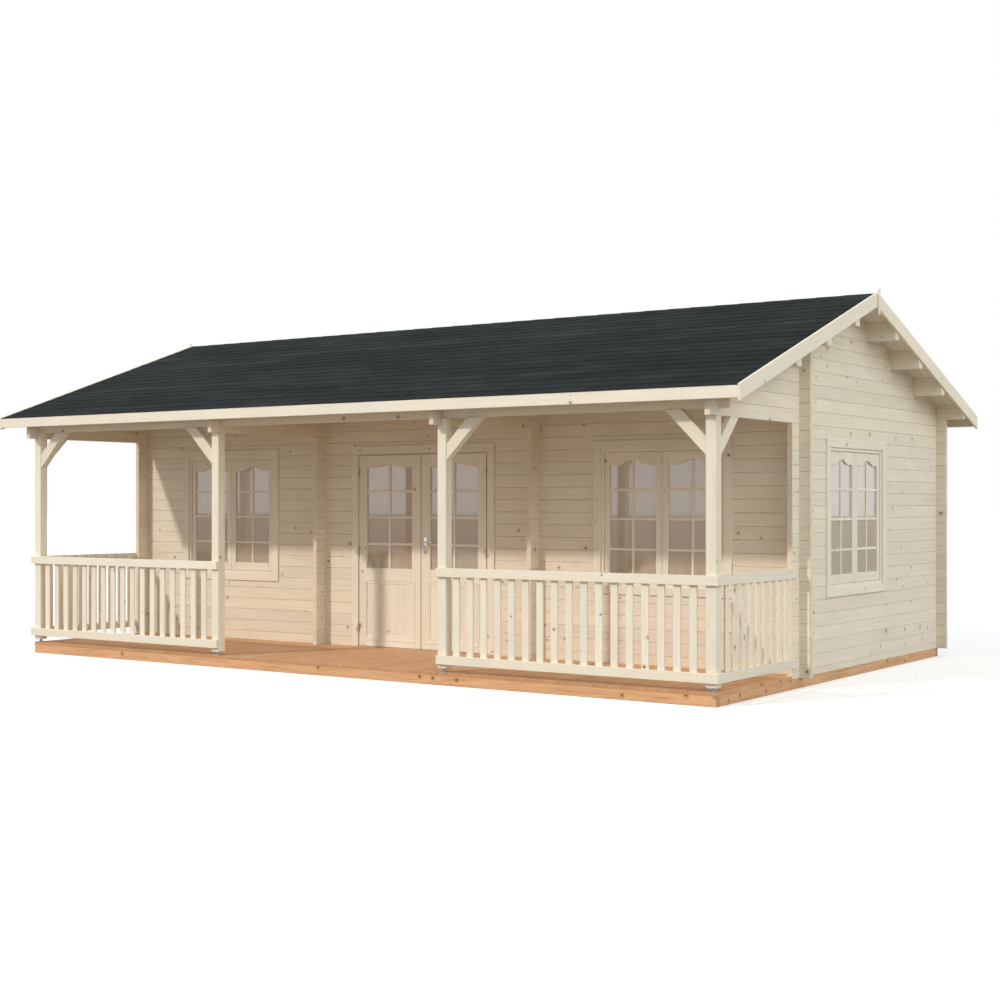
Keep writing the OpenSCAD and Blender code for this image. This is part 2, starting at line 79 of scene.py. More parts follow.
BASE_LOW, BASE_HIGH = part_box("base_frame")
WALL_Z = BASE_HIGH.z
DECK_LOW, DECK_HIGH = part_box("terrace_deck")
FLOOR_LOW, FLOOR_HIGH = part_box("cabin_floor")
FRONT_Y = middle("front_wall_right", "y")
REAR_Y = middle("rear_wall", "y")
GABLE_X = middle("gable_wall_right", "x")
TIE_X = middle("tie_wall_right", "x")
TIE_LOW, TIE_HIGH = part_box("tie_wall_right")
BEAM_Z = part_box("front_beam")[0].z
BEAM_Y = middle("front_beam", "y")
WALL_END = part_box("front_wall_right")[1].x
STUB_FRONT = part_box("cross_wall_right")[0].y
STUB_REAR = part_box("cross_wall_right")[1].y
BOARDS_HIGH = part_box("roof_boards_rear")[1]
COVER_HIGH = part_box("roof_cover_rear")[1]
RIDGE_UNDER = BOARDS_HIGH.z - BOARD_T / math.cos(PITCH)
DOOR_X = middle("door_frame", "x")
POSTS = ["post_outer_left", "post_inner_left", "post_inner_right", "post_outer_right"]
INNER_POST_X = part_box("post_inner_right")[1].x
OUTER_POST_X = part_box("post_outer_right")[0].x
POST_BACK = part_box("post_outer_right")[1].y


def under_roof(distance):
    """Height of the roof boards' underside at a distance from the ridge line."""
    return RIDGE_UNDER - abs(distance) * SLOPE


# ---- Materials ----


def put(tree, kind, inputs=None, **settings):
    """One shader node, with its settings, and its inputs as numbers or links."""
    node = tree.nodes.new(kind)
    for key, value in settings.items():
        setattr(node, key, value)
    for key, value in (inputs or {}).items():
        if isinstance(value, bpy.types.NodeSocket):
            tree.links.new(value, node.inputs[key])
        else:
            node.inputs[key].default_value = value
    return node


def calc(tree, what, a, b=0.0):
    return put(tree, "ShaderNodeMath", {0: a, 1: b}, operation=what).outputs[0]


def scaled(tree, a, b, more=0.0):
    """a times b, with more added."""
    return put(tree, "ShaderNodeMath", {0: a, 1: b, 2: more}, operation="MULTIPLY_ADD").outputs[0]


def ramp(tree, value, start, end, low=0.0, high=1.0, smooth=True):
    """A value mapped between two limits, eased at both ends."""
    kind = "SMOOTHSTEP" if smooth else "LINEAR"
    inputs = {"Value": value, "From Min": start, "From Max": end, "To Min": low, "To Max": high}
    return put(tree, "ShaderNodeMapRange", inputs, interpolation_type=kind).outputs[0]


def blend(tree, factor, a, b, how="MIX"):
    inputs = {"Factor": factor, 6: a, 7: b}
    return put(tree, "ShaderNodeMix", inputs, data_type="RGBA", blend_type=how).outputs[2]


def noise(tree, vector, scale, detail=2.0, rough=0.5):
    inputs = {"Vector": vector, "Scale": scale, "Detail": detail, "Roughness": rough}
    return put(tree, "ShaderNodeTexNoise", inputs).outputs["Fac"]


def stretched(tree, u, v, along, across):
    """A point on the grain map, with its two axes scaled."""
    inputs = {0: scaled(tree, u, along), 1: scaled(tree, v, across)}
    return put(tree, "ShaderNodeCombineXYZ", inputs).outputs[0]


def grey(tree, value):
    return put(tree, "ShaderNodeCombineColor", {0: value, 1: value, 2: value}).outputs[0]


def new_group(name, ins, outs):
    group = bpy.data.node_groups.new(name, "ShaderNodeTree")
    for socket, kind in ins.items():
        group.interface.new_socket(socket, in_out="INPUT", socket_type=kind)
    for socket, kind in outs.items():
        group.interface.new_socket(socket, in_out="OUTPUT", socket_type=kind)
    return group, group.nodes.new("NodeGroupInput"), group.nodes.new("NodeGroupOutput")


def wood_group():
    """Sawn softwood on the grain map: growth bands, fibres, knots, end grain and each board's tone."""
    colour, number = "NodeSocketColor", "NodeSocketFloat"
    ins = {"Early wood": colour, "Late wood": colour, "Knot": colour, "Knots": number, "Edge wear and shade": number}
    outs = {"Colour": colour, "Roughness": number, "Height": number}
    g, given, out = new_group("sawn_wood", ins, outs)
    early, late, knot = given.outputs[:3]
    grain = put(g, "ShaderNodeUVMap", uv_map="grain").outputs["UV"]
    look = put(g, "ShaderNodeAttribute", attribute_name="look").outputs["Color"]
    mark = put(g, "ShaderNodeSeparateColor", {"Color": look})
    tone, is_end, is_edge = mark.outputs[0], mark.outputs[1], mark.outputs[2]
    along = put(g, "ShaderNodeSeparateXYZ", {0: grain})
    u, v = along.outputs[0], along.outputs[1]

    # Knots: one chance in each cell, a dark core and a halo that bends the grain.
    cell = put(g, "ShaderNodeTexVoronoi", {"Vector": grain, "Scale": 4.6}, voronoi_dimensions="2D")
    luck = put(g, "ShaderNodeSeparateColor", {"Color": cell.outputs["Color"]})
    chosen = calc(g, "GREATER_THAN", luck.outputs[0], calc(g, "SUBTRACT", 1.0, given.outputs["Knots"]))
    chosen = scaled(g, chosen, calc(g, "SUBTRACT", 1.0, is_end))
    radius = scaled(g, calc(g, "POWER", luck.outputs[1], 2.0), 0.042, 0.016)
    ratio = calc(g, "DIVIDE", cell.outputs["Distance"], radius)
    core = scaled(g, ramp(g, ratio, 0.7, 1.15, 1.0, 0.0), chosen)
    halo = scaled(g, ramp(g, ratio, 0.9, 3.6, 1.0, 0.0), chosen)

    # Growth bands and fibres, drawn out along the board.
    slow = stretched(g, u, v, 0.9, 3.0)
    sway = scaled(g, noise(g, slow, 1.0), 0.05, v)
    bent = scaled(g, halo, 0.007, sway)
    rings = calc(g, "SINE", scaled(g, noise(g, stretched(g, u, bent, 0.45, 7.5), 1.0, 2.0), 62.0))
    bands = ramp(g, rings, -0.4, 1.0)
    fibre = noise(g, stretched(g, u, bent, 5.0, 260.0), 1.0, 3.0, 0.6)
    end_rings = calc(g, "SINE", scaled(g, noise(g, grain, 6.0, 1.0), 90.0))
    bands = scaled(g, is_end, calc(g, "SUBTRACT", ramp(g, end_rings, -0.6, 0.9), bands), bands)
    streak = ramp(g, noise(g, stretched(g, u, bent, 1.6, 34.0), 1.0, 2.0), 0.50, 0.74)
    bands = scaled(g, streak, 1.1, scaled(g, bands, 0.8))
    strength = scaled(g, fibre, 0.30, scaled(g, bands, 0.21))
    strength = scaled(g, is_end, 0.25, strength)

    # The board's own tone, its chamfered edges (lightened as wear where the edge factor is over 1, darkened
    # as painted shade in grooves and joints where it is under 1) and its warmth, then the knots over it.
    body = blend(g, strength, early, late)
    patch = ramp(g, noise(g, slow, 1.7, 3.0), 0.3, 0.7, 0.96, 1.03, smooth=False)
    level = scaled(g, patch, scaled(g, tone, 0.09, 0.945))
    # Chamfer faces scaled by the edge factor: painted shade where it is under 1, wear where it is over 1.
    shade = scaled(g, is_edge, calc(g, "SUBTRACT", given.outputs["Edge wear and shade"], 1.0), 1.0)
    level = scaled(g, level, shade)
    body = blend(g, 1.0, body, grey(g, level), "MULTIPLY")
    warm = calc(g, "FRACT", scaled(g, tone, 7.31))
    body = blend(g, scaled(g, warm, 0.35), body, (1.0, 0.94, 0.85, 1.0), "MULTIPLY")
    rim = blend(g, scaled(g, halo, 0.42), body, blend(g, 0.55, late, knot))
    done = blend(g, scaled(g, core, 0.88), rim, knot)
    g.links.new(done, out.inputs["Colour"])
    g.links.new(scaled(g, fibre, 0.22, 0.52), out.inputs["Roughness"])
    relief = scaled(g, fibre, 0.5, scaled(g, bands, 0.25))
    g.links.new(scaled(g, core, 0.3, relief), out.inputs["Height"])
    return g


WOOD = wood_group()


def surface(name, **plain):
    """A material with its shader's plain numbers. Gives it, its nodes and what links them to the shader."""
    mat = bpy.data.materials.new(name)
    mat.use_nodes = True
    tree = mat.node_tree
    shader = tree.nodes["Principled BSDF"]
    for key, value in plain.items():
        shader.inputs[key.replace("_", " ")].default_value = value

    def feed(key, source):
        tree.links.new(source, shader.inputs[key])

    return mat, tree, feed


def wood(name, early, late, knot, knots, edge_wear_and_shade, relief=0.0007):
    """A sawn timber. knots is the share of cells with a knot, relief the depth of its grain. The edge factor
    scales the chamfer faces' colour: under 1 it is painted shade in the grooves, over 1 it is wear.
    """
    mat, tree, feed = surface(name, Specular_IOR_Level=0.35)
    inputs = {"Early wood": early, "Late wood": late, "Knot": knot, "Knots": knots, "Edge wear and shade": edge_wear_and_shade}
    sawn = put(tree, "ShaderNodeGroup", inputs, node_tree=WOOD)
    rough = {"Strength": 0.55, "Distance": relief, "Height": sawn.outputs["Height"]}
    bump = put(tree, "ShaderNodeBump", rough)
    feed("Base Color", sawn.outputs["Colour"])
    feed("Roughness", sawn.outputs["Roughness"])
    feed("Normal", bump.outputs[0])
    return mat


def shingle_felt():
    """Mineral-surfaced shingles: a tone for each tab, streaks down the slope and fine granules."""
    mat, tree, feed = surface("slate_grey_shingles", Roughness=0.9, Specular_IOR_Level=0.15)
    at = put(tree, "ShaderNodeTexCoord").outputs["Object"]
    look = put(tree, "ShaderNodeAttribute", attribute_name="look").outputs["Color"]
    tone = put(tree, "ShaderNodeSeparateColor", {"Color": look}).outputs[0]
    drift = put(tree, "ShaderNodeMapping", {"Vector": at, "Scale": (0.9, 3.6, 3.6)}).outputs[0]
    cloud = noise(tree, drift, 1.0, 4.0, 0.6)
    grit = noise(tree, at, 420.0, 2.0, 0.7)
    mix = scaled(tree, cloud, 0.9, scaled(tree, tone, 0.28))
    body = blend(tree, ramp(tree, mix, 0.35, 1.05), (0.0040, 0.0066, 0.0074, 1), (0.0225, 0.0300, 0.0310, 1))
    fleck = ramp(tree, grit, 0.35, 0.72, 0.62, 1.5, smooth=False)
    feed("Base Color", blend(tree, 1.0, body, grey(tree, fleck), "MULTIPLY"))
    feed("Roughness", ramp(tree, grit, 0.2, 0.8, 0.82, 0.98, smooth=False))
    bump = put(tree, "ShaderNodeBump", {"Strength": 0.6, "Distance": 0.0012, "Height": grit})
    feed("Normal", bump.outputs[0])
    return mat


def plated_steel(name, dark, light):
    """Steel under a zinc coat, with its spangle."""
    mat, tree, feed = surface(name, Metallic=1.0)
    at = put(tree, "ShaderNodeTexCoord").outputs["Object"]
    spangle = put(tree, "ShaderNodeTexVoronoi", {"Vector": at, "Scale": 140.0}).outputs["Color"]
    value = put(tree, "ShaderNodeSeparateColor", {"Color": spangle}).outputs[0]
    feed("Base Color", blend(tree, value, dark, light))
    feed("Roughness", ramp(tree, value, 0.0, 1.0, 0.34, 0.52, smooth=False))
    return mat


def chrome():
    """Polished chrome plate with faint handling marks."""
    mat, tree, feed = surface("polished_chrome", Metallic=1.0)
    at = put(tree, "ShaderNodeTexCoord").outputs["Object"]
    smear = noise(tree, at, 36.0, 4.0, 0.6)
    sheen = blend(tree, smear, (0.72, 0.73, 0.74, 1), (0.82, 0.82, 0.83, 1))
    feed("Base Color", sheen)
    feed("Roughness", ramp(tree, smear, 0.3, 0.75, 0.07, 0.20))
    return mat


def window_pane():
    """Float glass: clear, very slightly wavy, with a pale base colour that is a painted reflection of the
    surroundings, lighter towards its head and mottled by dust.
    """
    mat, tree, feed = surface(
        "clear_glass", Metallic=0.0, Transmission_Weight=0.12, IOR=1.9, Alpha=0.88,
        Coat_Weight=1.0, Coat_IOR=1.9,
    )
    at = put(tree, "ShaderNodeTexCoord").outputs["Object"]
    dust = noise(tree, at, 3.0, 4.0, 0.6)
    height = put(tree, "ShaderNodeSeparateXYZ", {0: at}).outputs[2]
    # The base colour is a painted reflection: pale, lighter higher up the pane, mottled by dust.
    dust_and_painted_reflection = scaled(tree, dust, 0.5, ramp(tree, height, 1.05, 1.75, 0.0, 0.75))
    tint = blend(tree, dust_and_painted_reflection, (0.560, 0.455, 0.335, 1), (0.720, 0.635, 0.545, 1))
    feed("Base Color", tint)
    feed("Roughness", ramp(tree, dust, 0.4, 0.8, 0.0, 0.05))
    ripple = {"Strength": 0.06, "Distance": 0.002, "Height": noise(tree, at, 2.2, 1.0)}
    wave = put(tree, "ShaderNodeBump", ripple)
    feed("Normal", wave.outputs[0])
    return mat


# The logs' edge factor under 1 paints shade into the grooves between the logs.
LOG_WOOD = wood(
    "spruce_logs", early=(0.845, 0.785, 0.665, 1), late=(0.730, 0.620, 0.465, 1),
    knot=(0.140, 0.078, 0.042, 1), knots=0.36, edge_wear_and_shade=0.93,
)
TRIM_WOOD = wood(
    "planed_spruce", early=(0.865, 0.812, 0.700, 1), late=(0.775, 0.685, 0.540, 1),
    knot=(0.160, 0.092, 0.052, 1), knots=0.27, edge_wear_and_shade=1.02,
)
# The larch's edge factor under 1 paints shade along the board chamfers.
DECK_WOOD = wood(
    "larch_boards", early=(0.800, 0.475, 0.260, 1), late=(0.330, 0.130, 0.046, 1),
    knot=(0.085, 0.035, 0.016, 1), knots=0.50, edge_wear_and_shade=0.88, relief=0.001,
)
YELLOW_ZINC = plated_steel("yellow_zinc", (0.52, 0.45, 0.33, 1), (0.66, 0.58, 0.44, 1))

# What a piece is made of: its slot and its material.
LOGS = ("spruce", LOG_WOOD)
TRIM = ("planed_spruce", TRIM_WOOD)
LARCH = ("larch", DECK_WOOD)
SHINGLES = ("roof_felt", shingle_felt())
STEEL = ("galvanised_steel", plated_steel("galvanised_steel", (0.40, 0.40, 0.40, 1), (0.56, 0.56, 0.555, 1)))
HINGE_STEEL = ("galvanised_steel", YELLOW_ZINC)
CHROME = ("chrome", chrome())
GLASS = window_pane()


# ---- Boards ----

GRAIN = {
    "x": Matrix.Identity(4),
    "y": Matrix(((0, -1, 0, 0), (1, 0, 0, 0), (0, 0, 1, 0), (0, 0, 0, 1))),
    "z": Matrix(((0, 0, -1, 0), (0, 1, 0, 0), (1, 0, 0, 0), (0, 0, 0, 1))),
}
DRAWN = {"x": lambda a, b, c: (c, a, b), "y": lambda a, b, c: (a, c, b), "z": lambda a, b, c: (a, b, c)}


def slant(direction):
    """A turn whose first axis runs along a direction in the YZ or XZ plane."""
    x = Vector(direction).normalized()
    side = Vector((1, 0, 0)) if abs(x.x) < 0.01 else Vector((0, 1, 0))
    z = x.cross(side).normalized()
    return Matrix((x, z.cross(x), z)).transposed().to_4x4()


class Timber:
    """Boards gathered into one piece. Each keeps its own grain direction, grain offset and tone."""

    def __init__(self):
        self.bm = bmesh.new()
        self.number = self.bm.faces.layers.int.new("number")
        self.wear_and_shade = self.bm.faces.layers.int.new("wear_and_shade")
        self.grain = self.bm.loops.layers.uv.new("grain")
        self.look = self.bm.loops.layers.float_color.new("look")
        self.kinds = []

    def claim(self, faces, turn, seed):
        if seed is None:
            seed = new_seed()
        self.kinds.append((turn.inverted(), seed))
        for face in faces:
            face[self.number] = len(self.kinds) - 1

    def board(self, low, high, grain="x", at=Matrix(), seed=None):
        """A straight board between two corners."""
        low, high = Vector(low), Vector(high)
        place = at @ Matrix.Translation((low + high) / 2)
        stretch = Matrix.Diagonal((*(high - low), 1))
        made = bmesh.ops.create_cube(self.bm, size=1.0, matrix=place @ stretch)["verts"]
        turn = GRAIN[grain] if isinstance(grain, str) else grain
        self.claim({f for v in made for f in v.link_faces}, place @ turn, seed)

    def shaped(self, outline, low, high, across="x", grain="x", at=Matrix(), seed=None):
        """A board sawn to an outline in two axes, drawn out along the third."""
        verts = [self.bm.verts.new(at @ Vector(DRAWN[across](a, b, low))) for a, b in outline]
        flat = self.bm.faces.new(verts)
        made = bmesh.ops.extrude_face_region(self.bm, geom=[flat])["geom"]
        moved = [v for v in made if isinstance(v, bmesh.types.BMVert)]
        step = at.to_3x3() @ Vector(DRAWN[across](0, 0, high - low))
        bmesh.ops.translate(self.bm, verts=moved, vec=step)
        middle = sum((v.co for v in verts), Vector()) / len(verts)
        turn = GRAIN[grain] if isinstance(grain, str) else grain
        faces = {f for v in verts + moved for f in v.link_faces}
        self.claim(faces, Matrix.Translation(middle) @ at.to_3x3().to_4x4() @ turn, seed)

    def trim_to_roof(self):
        """Saws off what would stand above the roof boards' underside."""
        for side in (-1, 1):
            up = Vector((0, side * math.sin(PITCH), math.cos(PITCH)))
            everything = self.bm.verts[:] + self.bm.edges[:] + self.bm.faces[:]
            point = Vector((0, 0, RIDGE_UNDER - PLAY))
            cut = bmesh.ops.bisect_plane(
                self.bm, geom=everything, plane_co=point, plane_no=up, clear_outer=True, dist=1e-6
            )["geom_cut"]
            edges = [e for e in cut if isinstance(e, bmesh.types.BMEdge)]
            for face in bmesh.ops.holes_fill(self.bm, edges=edges, sides=0)["faces"]:
                near = [f for e in face.edges for f in e.link_faces if f is not face]
                face[self.number] = near[0][self.number] if near else 0

    def finish(self, name, nodes, made_of, body="cabin", chamfer=0.0015, long_edges=False):
        """Chamfers the boards and maps their grain. long_edges leaves the edges of sawn ends sharp."""
        bm = self.bm
        bm.normal_update()
        sharp, straight, end_on, side_shift = 0.5, 0.98, 0.8, 0.5
        edges = []
        for edge in bm.edges:
            if len(edge.link_faces) != 2 or edge.calc_face_angle(0) < sharp:
                continue
            if long_edges:
                back = self.kinds[edge.link_faces[0][self.number]][0].to_3x3()
                way = back @ (edge.verts[1].co - edge.verts[0].co)
                if abs(way.x) < straight * way.length:
                    continue
            edges.append(edge)
        if chamfer and edges:
            made = bmesh.ops.bevel(
                bm, geom=edges, offset=chamfer, offset_type="OFFSET", segments=1, profile=0.5,
                affect="EDGES", material=-1, clamp_overlap=True,
            )
            # The chamfer faces are marked for the edge factor, which paints shade into them or lightens them
            # as wear.
            for face in made["faces"]:
                face[self.wear_and_shade] = 1
        bmesh.ops.recalc_face_normals(bm, faces=bm.faces[:])
        for face in bm.faces:
            back, (along, across, tone) = self.kinds[face[self.number]]
            way = back.to_3x3() @ face.normal
            end = abs(way.x) > end_on
            for loop in face.loops:
                p = back @ loop.vert.co
                if end:
                    loop[self.grain].uv = (p.y + along, p.z + across)
                elif abs(way.z) > abs(way.y):
                    loop[self.grain].uv = (p.x + along, p.y + across)
                else:
                    loop[self.grain].uv = (p.x + along, p.z + across + side_shift)
                loop[self.look] = (tone, float(end), float(face[self.wear_and_shade] and not end), 1.0)
        return settle(bm, name, nodes, made_of, body)


def new_seed():
    """Where on the endless plank this board is cut, and its tone."""
    return dice.uniform(0, 60), dice.uniform(0, 60), dice.random()


def settle(bm, name, nodes, made_of, body="cabin"):
    """Makes the piece an object that rides on its body and stands for its nodes."""
    slot, material = made_of
    mesh = bpy.data.meshes.new(name)
    bm.to_mesh(mesh)
    bm.free()
    mesh.materials.append(material)
    piece = bpy.data.objects.new(name, mesh)
    bpy.context.scene.collection.objects.link(piece)
    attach(piece, body)
    if nodes:
        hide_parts(*nodes)
    return piece


def block(bm, middle, size):
    """A block about its middle. Gives its edges."""
    place = Matrix.Translation(middle) @ Matrix.Diagonal((*size, 1))
    made = bmesh.ops.create_cube(bm, size=1.0, matrix=place)["verts"]
    return list({e for v in made for e in v.link_edges})


def cone(bm, place, low_r, high_r, depth, sides):
    """A closed cone or barrel in a frame, or upright about a point. Gives its edges."""
    if not isinstance(place, Matrix):
        place = Matrix.Translation(place)
    made = bmesh.ops.create_cone(
        bm, cap_ends=True, segments=sides, radius1=low_r, radius2=high_r, depth=depth, matrix=place
    )["verts"]
    return list({e for v in made for e in v.link_edges})


def ease(bm, edges, offset, segments):
    bmesh.ops.bevel(
        bm, geom=edges, offset=offset, segments=segments, profile=0.5, affect="EDGES", material=-1
    )


def rise_of(edge):
    return abs(edge.verts[0].co.z - edge.verts[1].co.z)


# ---- Base, deck and floor ----


def build_base():
    t = Timber()
    low, high, wide = BASE_LOW, BASE_HIGH, 0.060
    wall_bearer = FRONT_Y - wide / 2
    t.board((low.x, low.y, 0), (high.x, low.y + wide, high.z))
    t.board((low.x, high.y - wide, 0), (high.x, high.y, high.z))
    t.board((low.x + wide, wall_bearer, 0), (high.x - wide, wall_bearer + wide, high.z))
    for side in (-1, 1):
        x0, x1 = pair(side, high.x - wide, high.x)
        t.board((x0, low.y + wide, 0), (x1, high.y - wide, high.z), "y")
    for i in range(-5, 6):
        x0, x1 = i * TIE_X / 2 - wide / 2, i * TIE_X / 2 + wide / 2
        t.board((x0, low.y + wide, 0), (x1, wall_bearer, high.z), "y")
        t.board((x0, wall_bearer + wide, 0), (x1, high.y - wide, high.z), "y")
    t.finish("bearers_and_joists", ["base_frame"], LARCH, chamfer=0.003)


def build_deck():
    t = Timber()
    low, high = DECK_LOW, DECK_HIGH
    count = 65
    pitch = (high.x - low.x) / count
    gap, saw_gap, thin = 0.002, 0.003, 0.010
    screw_side, screw_end = 0.022, 0.030
    screws = []
    for i in range(count):
        x0, x1 = low.x + i * pitch + gap / 2, low.x + (i + 1) * pitch - gap / 2
        if i == 0:
            x0 = low.x
        if i == count - 1:
            x1 = high.x
        seed = new_seed()
        end = high.y
        for log in (-GABLE_X, -TIE_X, TIE_X, GABLE_X):
            left, right = log - LOG_T / 2 - saw_gap, log + LOG_T / 2 + saw_gap
            if left < x1 and right > x0:
                end = STUB_FRONT - saw_gap
                if left - x0 > thin:
                    t.board((x0, end, low.z), (left, high.y, high.z), "y", seed=seed)
                if x1 - right > thin:
                    t.board((right, end, low.z), (x1, high.y, high.z), "y", seed=seed)
        t.board((x0, low.y, low.z), (x1, end, high.z), "y", seed=seed)
        for x in (x0 + screw_side, x1 - screw_side):
            screws += [(x, low.y + screw_end), (x, end - screw_end)]
    t.finish("terrace_boards", ["terrace_deck"], LARCH)
    build_screws("terrace_screws", screws, high.z)


def build_screws(name, places, z):
    """Countersunk heads, just proud of the boards."""
    bm = bmesh.new()
    proud = 0.0004
    for x, y in places:
        cone(bm, (x, y, z + proud), 0.0045, 0.0034, 0.0012, 10)
    settle(bm, name, [], STEEL)


def build_floor():
    t = Timber()
    low, high = FLOOR_LOW, FLOOR_HIGH
    count, gap, farthest_joint = 30, 0.001, 2.2
    pitch = (high.y - low.y) / count
    for i in range(count):
        joint = dice.uniform(-farthest_joint, farthest_joint)
        y0, y1 = low.y + i * pitch, low.y + (i + 1) * pitch - gap
        t.board((low.x, y0, low.z), (joint - gap / 2, y1, high.z))
        t.board((joint + gap / 2, y0, low.z), (high.x, y1, high.z))
    t.finish("floor_boards", ["cabin_floor"], TRIM, chamfer=0.001)


# ---- Log walls ----


def log_between(t, axis, middle, a0, a1, z0, z1, holes, seed):
    """One log, sawn out where a window or a doorway laps it by more than top_lap or foot_lap."""
    play, top_lap, foot_lap, thin, short = 0.0004, 0.012, 0.004, 0.020, 0.010
    pieces = [(a0, a1, z0, z1)]
    for h0, h1, low, high in holes:
        kept = []
        for p0, p1, q0, q1 in pieces:
            if h1 <= p0 or h0 >= p1 or high <= q0 + top_lap or low >= q1 - foot_lap:
                kept.append((p0, p1, q0, q1))
                continue
            kept.append((p0, h0, q0, q1))
            kept.append((h1, p1, q0, q1))
            if low - q0 > thin:
                kept.append((h0, h1, q0, low))
            if q1 - high > thin:
                kept.append((h0, h1, high, q1))
        pieces = [p for p in kept if p[1] - p[0] > short]
    half = LOG_T / 2
    for p0, p1, q0, q1 in pieces:
        if axis == "x":
            t.board((p0, middle - half, q0 + play), (p1, middle + half, q1 - play), "x", seed=seed)
        else:
            t.board((middle - half, p0, q0 + play), (middle + half, p1, q1 - play), "y", seed=seed)


def courses(axis, bottom, top):
    """The log courses between two heights. Walls along Y start with half a log."""
    start = WALL_Z - (0 if axis == "x" else LOG_H / 2)
    graze = 0.001
    k = 0
    while start + k * LOG_H < top - graze:
        z0, z1 = start + k * LOG_H, start + (k + 1) * LOG_H
        if z1 > bottom + graze:
            yield max(z0, bottom), z1
        k += 1


def build_log_wall(name, nodes, axis, middle, reach, bottom, top, holes=()):
    """A wall of stacked logs. reach holds their two ends, or gives them at a course's height."""
    t = Timber()
    for z0, z1 in courses(axis, bottom, top):
        for a0, a1 in reach(z0) if callable(reach) else reach:
            log_between(t, axis, middle, a0, a1, z0, z1, holes, new_seed())
    t.trim_to_roof()
    t.finish(name, nodes, LOGS, chamfer=0.0032, long_edges=True)


WINDOW_W, WINDOW_H, WINDOW_Z = 1.250, 1.246, 0.783
WINDOW_X = middle("window_front_right", "x")
WINDOW_Y = middle("window_gable_right", "y")
DOOR_W, DOOR_TOP = 1.590, 2.029
TIE_Z = TIE_LOW.z


def window_hole(place):
    return (place - WINDOW_W / 2, place + WINDOW_W / 2, WINDOW_Z, WINDOW_Z + WINDOW_H)


def build_walls():
    """All the log walls. The long ones go a little over the roof's underside, to be sawn off there."""
    near, over = 0.010, 0.020
    verge_logs = WALL_Z + 20 * LOG_H
    tie_ends = [(TIE_LOW.y, TIE_HIGH.y)]
    stubs = [(STUB_FRONT, FRONT_Y + LOG_T / 2 + STUB), (REAR_Y - LOG_T / 2 - STUB, STUB_REAR)]

    def gable_reach(z):
        return [(TIE_LOW.y if z > TIE_Z - near else STUB_FRONT, TIE_HIGH.y)]

    for side, word in SIDES:
        gable, tie = side * GABLE_X, side * TIE_X
        build_log_wall(
            "gable_logs_" + word, ["gable_wall_" + word], "y", gable, gable_reach, WALL_Z, RIDGE_UNDER,
            [window_hole(WINDOW_Y)],
        )
        build_log_wall("tie_logs_" + word, ["tie_wall_" + word], "y", tie, tie_ends, TIE_Z, RIDGE_UNDER)
        build_log_wall(
            "cross_wall_logs_" + word, ["cross_wall_" + word], "y", tie, stubs, WALL_Z, TIE_Z - 0.001
        )
    doorway = (DOOR_X - DOOR_W / 2, DOOR_X + DOOR_W / 2, 0.0, DOOR_TOP)
    build_log_wall(
        "front_wall_logs", ["front_wall_left", "front_wall_right", "front_wall_over_door"], "x", FRONT_Y,
        [(-WALL_END, WALL_END)], WALL_Z, under_roof(FRONT_Y) + over,
        [window_hole(-WINDOW_X), window_hole(WINDOW_X), doorway],
    )
    rear, beam = ("rear_wall_logs", "rear_wall", REAR_Y, WALL_Z), ("beam_logs", "front_beam", BEAM_Y, BEAM_Z)
    for name, node, y, bottom in (rear, beam):
        top_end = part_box(node)[1].x

        def eave_reach(z):
            end = top_end if z > verge_logs - near else WALL_END
            return [(-end, end)]

        build_log_wall(name, [node], "x", y, eave_reach, bottom, under_roof(y) + over)


# ---- Terrace front ----


def build_posts():
    """Square posts, notched at the head over the tie logs."""
    t = Timber()
    thin = 0.004
    for node, tie in zip(POSTS, (-GABLE_X, -TIE_X, TIE_X, GABLE_X)):
        low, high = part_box(node)
        seed = new_seed()
        t.board(low, (high.x, high.y, TIE_Z), "z", seed=seed)
        left = (low.x, tie - LOG_T / 2 - PLAY)
        right = (tie + LOG_T / 2 + PLAY, high.x)
        for x0, x1 in (left, right):
            if x1 - x0 > thin:
                t.board((x0, low.y, TIE_Z), (x1, high.y, high.z), "z", seed=seed)
    t.finish("terrace_posts", POSTS, TRIM, chamfer=0.003)


def build_braces():
    """Braces from each post to the beam, and from the outer posts to the gables' tie logs."""
    t = Timber()
    leg, wide, thick = 0.355, 0.140, 0.070

    def spots(leg):
        return [(0, -leg), (leg, 0), (leg - wide, 0), (0, wide - leg)]

    for side in (-1, 1):
        for edge, way in ((OUTER_POST_X, -1), (INNER_POST_X, 1)):
            outline = [(side * (edge + way * a), BEAM_Z + b) for a, b in spots(leg)]
            t.shaped(outline, BEAM_Y - thick / 2, BEAM_Y + thick / 2, "y", slant((side * way, 0, 1)))
        outline = [(POST_BACK + a, TIE_Z + b) for a, b in spots(leg - (BEAM_Z - TIE_Z))]
        x0, x1 = pair(side, GABLE_X - LOG_T / 2, GABLE_X + LOG_T / 2)
        t.shaped(outline, x0, x1, "x", slant((0, 1, 1)))
    t.finish("post_head_braces", ["post_braces"], TRIM, chamfer=0.002)


RAIL_H, RAIL_T, BALUSTER_W = 0.076, 0.028, 0.064


